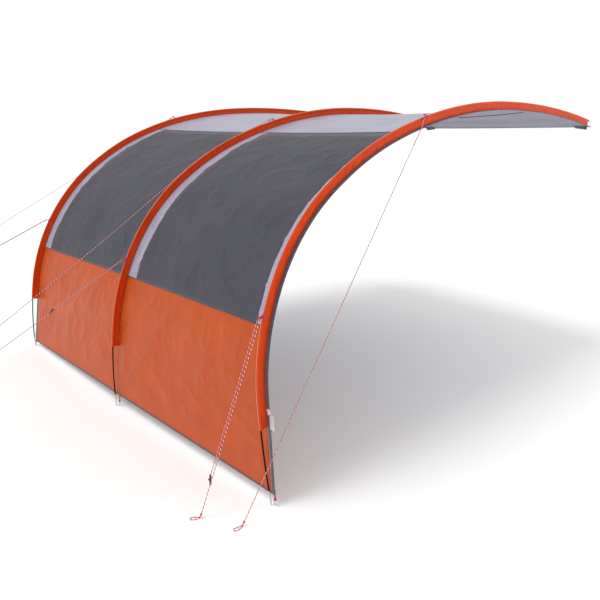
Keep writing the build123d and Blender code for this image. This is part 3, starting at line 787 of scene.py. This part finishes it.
def makePanels(paint):
    print("panels")
    low, high = (lambda y: seam(y, "lowSeam")), (lambda y: seam(y, "highSeam"))
    orange, silver = (paint["orange"], paint["orangeInside"]), (paint["silver"], paint["silverInside"])
    lap, step = curtainFit["lap"], cloth["borderStep"]
    for bay, near, far in bays:
        title = bayTitles[bay]
        y0, y1 = arches[near]["y"] + tent["panelGap"], arches[far]["y"] - tent["panelGap"]
        y2, y3 = y0 + tent["frontBorder"], y1 - tent["border"]
        makePanel(f"{title}LowerWall", (y0, y1), lambda y: seam(y, "hem") + hemTurn, low,
                  [f"{bay}_lower_wall"], *orange)
        makePanel(f"{title}FrontBorder", (y0, y2), low, high, [f"{bay}_front_border"], *silver, step=step)
        makePanel(f"{title}RearBorder", (y3, y1), low, high, [f"{bay}_rear_border"], *silver, step=step)
        makePanel(f"{title}Window", (y2, y3), low, high, [f"{bay}_window_mesh"], paint["window"])
        makePanel(f"{title}Curtain", (y2 - lap, y3 + lap), lambda y: low(y) + curtainFit["foot"],
                  lambda y: high(y) - lap, [f"{bay}_curtain"], paint["curtain"],
                  out=-tent["curtainDepth"], shape=curtainSlack)
        makePanel(f"{title}Roof", (y0, y1), high, lambda y: poleLength - tent["freeHem"],
                  [f"{bay}_roof"], *silver)


def runUp(y, low, high, out=0.0, step=0.02):
    # a path up the cloth with its ways across and outwards, for a tape
    count = max(2, round((high - low) / step))
    path, across, normals = [], [], []
    for k in range(count + 1):
        here, _, normal = clothFrame(y, low + (high - low) * k / count, out)
        path.append(here)
        across.append(acrossY)
        normals.append(normal)
    return path, across, normals


def runAcross(y0, y1, at, out=0.0, step=0.02, rides=None):
    # a path along a seam or a hem from one arch to the next
    count = max(2, round((y1 - y0) / step))
    path, across, normals = [], [], []
    for k in range(count + 1):
        y = y0 + (y1 - y0) * k / count
        here, up, normal = clothFrame(y, at(y), out)
        path.append(here + normal * (rides(y, at(y)) if rides else 0.0))
        across.append(up)
        normals.append(normal)
    return path, across, normals


# width and thickness of each tape in metres
tapes = dict(edge=(0.026, 0.0026), hem=(0.012, 0.0028), free=(0.0135, 0.0028), seam=(0.007, 0.0012),
             windowSeam=(0.006, 0.0012))
# where the tapes lie, in metres: from a panel's edge, up from the hem, in from the free edge, off the cloth
tapePlaces = dict(edge=0.013, hem=0.006, free=0.0075, poleEnd=0.001, seamOut=0.0012, seamStep=0.012,
                  flutter=0.0009, flutterBeat=1.7, flutterRate=0.31)


def makeTapes(paint):
    print("tapes and seams")
    gap = tent["panelGap"]
    seamOut = tapePlaces["seamOut"]
    made = []
    for end, side in (("front", -1), ("rear", 1)):
        y = arches[end]["y"] + side * (gap + tapePlaces["edge"])
        path, across, normals = runUp(y, arches[end]["hem"], poleLength - tapePlaces["poleEnd"])
        for k, normal in enumerate(normals):
            waver = noise.noise(Vector((k * tapePlaces["flutterRate"], 7.0, 1.0)))
            waver *= math.sin(k * tapePlaces["flutterBeat"])
            path[k] = path[k] + normal * (tapePlaces["flutter"] * waver)
        tape = ribbon(f"{end}EdgeTape", path, across, normals, *tapes["edge"], paint["tape"])
        made.append((tape, [f"{end}_edge_tape"]))
    for bay, near, far in bays:
        title = bayTitles[bay]
        y0, y1 = arches[near]["y"] + gap, arches[far]["y"] - gap
        hem = runAcross(y0, y1, lambda y: seam(y, "hem") + tapePlaces["hem"])
        made.append((ribbon(f"{title}HemTape", *hem, *tapes["hem"], paint["tape"]), ["ground_hem_tape"]))
        free = runAcross(y0, y1, lambda y: poleLength - tapePlaces["free"], rides=slack)
        freeTape = ribbon(f"{title}FreeEdgeTape", *free, *tapes["free"], paint["tape"])
        made.append((freeTape, ["free_edge_tape"]))
        for label, key in (("LowSeam", "lowSeam"), ("HighSeam", "highSeam")):
            run = runAcross(y0, y1, lambda y: seam(y, key), seamOut, rides=slack)
            made.append((ribbon(f"{title}{label}", *run, *tapes["seam"], paint["seam"]), []))
        sides = (("FrontWindowSeam", y0 + tent["frontBorder"]), ("RearWindowSeam", y1 - tent["border"]))
        for label, y in sides:
            low, high = seam(y, "lowSeam"), seam(y, "highSeam")
            path, across, normals = runUp(y, low, high, seamOut, tapePlaces["seamStep"])
            count = len(path) - 1
            for k, normal in enumerate(normals):
                path[k] = path[k] + normal * slack(y, low + (high - low) * k / count)
            strip = ribbon(f"{title}{label}", path, across, normals, *tapes["windowSeam"], paint["seam"])
            made.append((strip, []))
    for obj, nodes in made:
        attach(obj, "root")
        if nodes:
            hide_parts(*nodes)


turnSteps = 8  # the webbing's points over a half turn


def strapLoop(name, path, across, width, thickness, material):
    # webbing that turns round a ring or a rope: its normals follow the path
    normals = []
    for k in range(len(path)):
        way = (path[min(k + 1, len(path) - 1)] - path[max(k - 1, 0)]).normalized()
        normals.append(across.cross(way).normalized())
    return ribbon(name, path, [across] * len(path), normals, width, thickness, material)


# the ends of a tab are sewn flat at the stem, and it opens over its necks into an eye for the rope
tabs = dict(width=0.0114, thickness=0.0022, rootOut=0.0072, eye=0.0048, stem=0.0024,
            wrap=0.030, wrapRadius=0.0090, wrapThickness=0.0009, wrapRows=6, wrapColumns=12, wrapTurn=260)
# back from the tip, and apart from the tab's middle
tabNecks = ((0.018, tabs["stem"]), (0.012, tabs["stem"] + 0.0008), (0.006, tabs["eye"] * 0.85))


def makeTabWrap(name, arch, s, material):
    # the reinforcing webbing that holds a tab, sewn round the outside of the pole channel
    points, uvs = [], []
    rows, columns, radius = tabs["wrapRows"], tabs["wrapColumns"], tabs["wrapRadius"]
    for k in range(rows + 1):
        at = s + tabs["wrap"] * (k / rows - 0.5)
        middle, outward = poleFrame(arch, at)
        for i in range(columns + 1):
            angle = math.radians(tabs["wrapTurn"] * i / columns - tabs["wrapTurn"] / 2)
            points.append(middle + (outward * math.cos(angle) + acrossY * math.sin(angle)) * radius)
            uvs.append((math.radians(tabs["wrapTurn"]) * i / columns * radius, at))
    mesh = meshFrom(name, points, gridFaces(rows, columns), material, uvs)
    return thicken(mesh, tabs["wrapThickness"])


def makeTab(name, arch, s, shift, tip, material):
    # a strip of webbing folded round the rope, its two ends sewn together into the sleeve
    root = polePoint(arch, s, tabs["rootOut"])
    root.y = arch["y"] + shift
    along = (tip - root).normalized()
    length = (tip - root).length
    up = along.cross(acrossY).normalized()
    half = [(0.0, tabs["stem"])] + [(length - back, apart) for back, apart in tabNecks]
    path = [root + along * away + up * apart for away, apart in half]
    for k in range(turnSteps + 1):
        angle = math.radians(90 - 180 * k / turnSteps)
        path.append(tip + along * (tabs["eye"] * math.cos(angle)) + up * (tabs["eye"] * math.sin(angle)))
    path += [root + along * away - up * apart for away, apart in reversed(half)]
    obj = strapLoop(name, path, acrossY, tabs["width"], tabs["thickness"], material)
    wrap = makeTabWrap(f"{name}Wrap", arch, s, material)
    for piece in (obj, wrap):
        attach(piece, "root")
        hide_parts("guy_tabs")


# lap is how far the webbing is sewn up the wall, turn the radius where it goes round the ring
footStraps = dict(width=0.012, thickness=0.0015, hinge=0.03725, inwards=0.0038, side=0.0205, lap=0.030,
                  flat=0.0008, turn=0.0048)
footNecks = ((0.016, footStraps["flat"]), (0.010, 0.0020), (0.005, 0.0042))  # rise and distance apart


def makeFootStrap(end, side, material):
    arch = arches[end]
    y = arch["y"] + side * footStraps["side"]
    here, up, normal = clothFrame(y, footStraps["hinge"], -footStraps["inwards"])
    half = [(arch["hem"] + footStraps["lap"] - footStraps["hinge"], footStraps["flat"]), *footNecks]
    path = [here + up * rise + normal * apart for rise, apart in half]
    for k in range(1, turnSteps):
        angle = math.radians(180 * k / turnSteps)
        path.append(here - up * (footStraps["turn"] * math.sin(angle))
                    + normal * (footStraps["turn"] * math.cos(angle)))
    path += [here + up * rise - normal * apart for rise, apart in reversed(half)]
    obj = strapLoop(f"{end}FootStrap", path, acrossY, footStraps["width"], footStraps["thickness"], material)
    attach(obj, "root")
    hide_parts("foot_webbings")


toggleStraps = dict(inwards=0.012, start=-0.005, step=0.0062, points=11, out=0.0048, bow=0.0012, bowRate=70,
                    width=0.010, thickness=0.0014, pinRadius=0.0019, pinSides=12)
togglePin = (-0.0049, -0.0038, -0.00379, 0.0048)  # places along the pin, outwards from the toggle's middle


def makeToggleStrap(bay, material):
    y, s = togglePlaces[bay]
    here, up, normal = clothFrame(y, s, -toggleStraps["inwards"])
    path = []
    for k in range(toggleStraps["points"]):
        rise = toggleStraps["start"] + toggleStraps["step"] * k
        out = toggleStraps["out"] + toggleStraps["bow"] * math.sin(rise * toggleStraps["bowRate"])
        path.append(here + up * rise + normal * out)
    obj = ribbon(f"{bayTitles[bay]}ToggleStrap", path, [acrossY] * len(path), [normal] * len(path),
                 toggleStraps["width"], toggleStraps["thickness"], material)
    pin = tubeParts([here + normal * out for out in togglePin], toggleStraps["pinRadius"],
                    toggleStraps["pinSides"])
    pinObj = joinParts(f"{bayTitles[bay]}TogglePin", [pin], material)
    for piece in (obj, pinObj):
        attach(piece, "root")
        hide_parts("toggle_webbings")


patches = dict(start=0.0039, width=0.100, drop=0.026, sewn=0.018, back=0.058, inwards=0.0014,
               columns=10, rows=14, puff=0.0012, puffRates=(30, 0.4), thickness=0.0010, overDrop=0.05,
               topOut=(0.0005, 0, 0), tipOut=0.0002, backFold=(0.006, 0, -0.0025))


def makePatch(end, side, material):
    # a stiff flap folded under the free edge beside the pole's end
    start = arches[end]["y"] + side * patches["start"]
    columns, rows = patches["columns"], patches["rows"]
    points, uvs = [], []
    for i in range(columns + 1):
        share = i / columns
        y = start + side * patches["width"] * share
        drop = patches["drop"] * (1 - 0.5 * share)
        sewn = clothPoint(y, poleLength - patches["sewn"], -patches["inwards"])
        back = clothPoint(y, poleLength - patches["back"], -patches["inwards"])
        corners = [sewn + Vector(patches["topOut"]), sewn + Vector((patches["tipOut"], 0, -drop)),
                   back + Vector(patches["backFold"]), back]
        for j in range(rows + 1):
            t = j / rows * 3
            k = min(2, int(t))
            across, down = patches["puffRates"]
            puff = patches["puff"] * noise.noise(Vector((y * across, j * down, 3.0)))
            points.append(corners[k].lerp(corners[k + 1], t - k) + Vector((puff, 0, 0)))
            uvs.append((y, j / rows * (drop + patches["overDrop"])))
    mesh = meshFrom(f"{end}FreeEdgePatch", points, gridFaces(columns, rows), material, uvs)
    obj = thicken(mesh, patches["thickness"])
    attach(obj, "root")
    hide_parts("free_edge_patches")


tieStrap = dict(near=(-0.094, -1.730, 2.096), far=(0.684, -1.730, 2.144), steps=30, drop=0.0009, sag=0.004,
                width=0.008, thickness=0.0048)


def makeTieStrap(material):
    # the strap hangs almost straight under the roof, beside the front arch
    path = []
    for k in range(tieStrap["steps"] + 1):
        share = k / tieStrap["steps"]
        down = tieStrap["drop"] + tieStrap["sag"] * 4 * share * (1 - share)
        path.append(Vector(tieStrap["near"]).lerp(Vector(tieStrap["far"]), share) - Vector((0, 0, down)))
    obj = strapLoop("roofTieStrap", path, acrossY, tieStrap["width"], tieStrap["thickness"], material)
    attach(obj, "root")
    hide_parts("roof_tie_strap")


careLabel = dict(y=-1.7714, s=0.548, out=0.0024, wide=0.026, tall=0.034, turn=20, cells=8, thickness=0.0005,
                 curlDown=0.0014, curlAside=0.0008, curlFrom=0.3)


def makeCareLabel(material):
    here, up, normal = clothFrame(careLabel["y"], careLabel["s"], careLabel["out"])
    turn = math.radians(careLabel["turn"])
    side = -acrossY
    right, tall = side * math.cos(turn) + up * math.sin(turn), up * math.cos(turn) - side * math.sin(turn)
    count = careLabel["cells"]
    points, uvs = [], []
    for j in range(count + 1):
        for i in range(count + 1):
            a, b = (i / count - 0.5) * careLabel["wide"], (j / count - 0.5) * careLabel["tall"]
            curl = careLabel["curlDown"] * (0.5 - j / count) ** 2 * 4
            curl += careLabel["curlAside"] * (i / count - careLabel["curlFrom"]) ** 2
            points.append(here + right * a + tall * b + normal * curl)
            uvs.append((a, b))
    mesh = meshFrom("careLabel", points, gridFaces(count, count), material, uvs)
    obj = thicken(mesh, careLabel["thickness"])
    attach(obj, "root")
    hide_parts("care_label")


def makeSmallParts(paint):
    print("webbing and small parts")
    for end, arch in arches.items():
        low, high, webbing = lowGuys[end], highGuys[end], paint["redWebbing"]
        makeTab(f"{end}LowTab", arch, arch["lowTab"], 0.0, Vector(low["tip"]), webbing)
        makeTab(f"{end}HighTab", arch, arch["highTab"], high["shift"], Vector(high["tip"]), webbing)
        makeFootStrap(end, 1 if end == "rear" else -1, paint["redWebbing"])
        makePatch(end, 1 if end == "front" else -1, paint["patch"])
    for bay in togglePlaces:
        makeToggleStrap(bay, paint["redWebbing"])
    makeTieStrap(paint["blackWebbing"])
    makeCareLabel(paint["label"])


# what each visible CAD solid is made of
keptParts = {"front_pole": "pole", "middle_pole": "pole", "rear_pole": "pole", "pole_ferrules": "ferrule",
             "shock_cords": "shockCord", "foot_pins": "steel", "pole_end_caps": "blackPlastic",
             "front_peg_ring": "steel", "middle_peg_ring": "steel", "rear_peg_ring": "steel",
             "front_slider": "blackPlastic", "middle_slider": "blackPlastic", "rear_slider": "blackPlastic",
             "front_bay_toggle": "redPlastic", "rear_bay_toggle": "redPlastic", "hang_tag": "clearPlastic",
             "hang_tag_stud": "blackPlastic", "hang_tag_eyelet": "blackPlastic"}


def paintKeptParts(paint):
    print("kept CAD parts")
    for node, finish in keptParts.items():
        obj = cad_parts[node]
        obj.data.materials.clear()
        obj.data.materials.append(paint[finish])


# lights in watts and degrees, places in metres
studio = dict(sky=0.78, backdrop=1.0, floor="#ffffff", floorReach=60, sunStrength=1.35, sunSpread=28,
              sunFrom=(-0.50, 0.10, 0.86), fillPlace=(4.0, -8.5, 3.5), fillAim=(-0.5, 0, 1.2), fillSize=5.0,
              fillWatts=140)


def makeStudio():
    print("studio")
    floor = startMaterial("paleFloor", {"Base Color": fromHex(studio["floor"]), "Roughness": 0.9})[0]
    mesh = bpy.data.meshes.new("floor")
    reach = studio["floorReach"]
    mesh.from_pydata([(-reach, -reach, 0), (reach, -reach, 0), (reach, reach, 0), (-reach, reach, 0)], [],
                     [(0, 1, 2, 3)])
    linked("floor", mesh, floor)
    world = bpy.data.worlds.new("studioWorld")
    world.use_nodes = True
    tree = world.node_tree
    rays = addNode(tree, "ShaderNodeLightPath")
    strength = addNode(tree, "ShaderNodeMapRange", {"To Min": studio["sky"], "To Max": studio["backdrop"]},
                       {"Value": rays.outputs["Is Camera Ray"]})
    tree.nodes["Background"].inputs["Color"].default_value = (1, 1, 1, 1)
    tree.links.new(strength.outputs[0], tree.nodes["Background"].inputs["Strength"])
    bpy.context.scene.world = world
    bpy.context.scene.view_settings.view_transform = "Standard"  # keeps the strong orange of the cloth
    sun = bpy.data.lights.new("softSun", "SUN")
    sun.energy = studio["sunStrength"]
    sun.angle = math.radians(studio["sunSpread"])
    sunObj = bpy.data.objects.new("softSun", sun)
    bpy.context.collection.objects.link(sunObj)
    sunObj.rotation_euler = (-Vector(studio["sunFrom"])).to_track_quat("-Z", "Y").to_euler()
    fill = bpy.data.lights.new("fillLight", "AREA")
    fill.size = studio["fillSize"]
    fill.energy = studio["fillWatts"]
    fillObj = bpy.data.objects.new("fillLight", fill)
    bpy.context.collection.objects.link(fillObj)
    fillObj.location = studio["fillPlace"]
    aim = Vector(studio["fillAim"]) - fillObj.location
    fillObj.rotation_euler = aim.to_track_quat("-Z", "Y").to_euler()


makeCamera()
paint = makeMaterials()
makeGuyLines(paint)
print("sleeves")
for end in arches:
    makeSleeve(end, paint)
    # each sleeve gets a pale cord that is a painted highlight along its outer fold
    makePaintedSleeveHighlight(end, paint["paintedHighlight"])
makePanels(paint)
makeTapes(paint)
makeSmallParts(paint)
paintKeptParts(paint)
makeStudio()
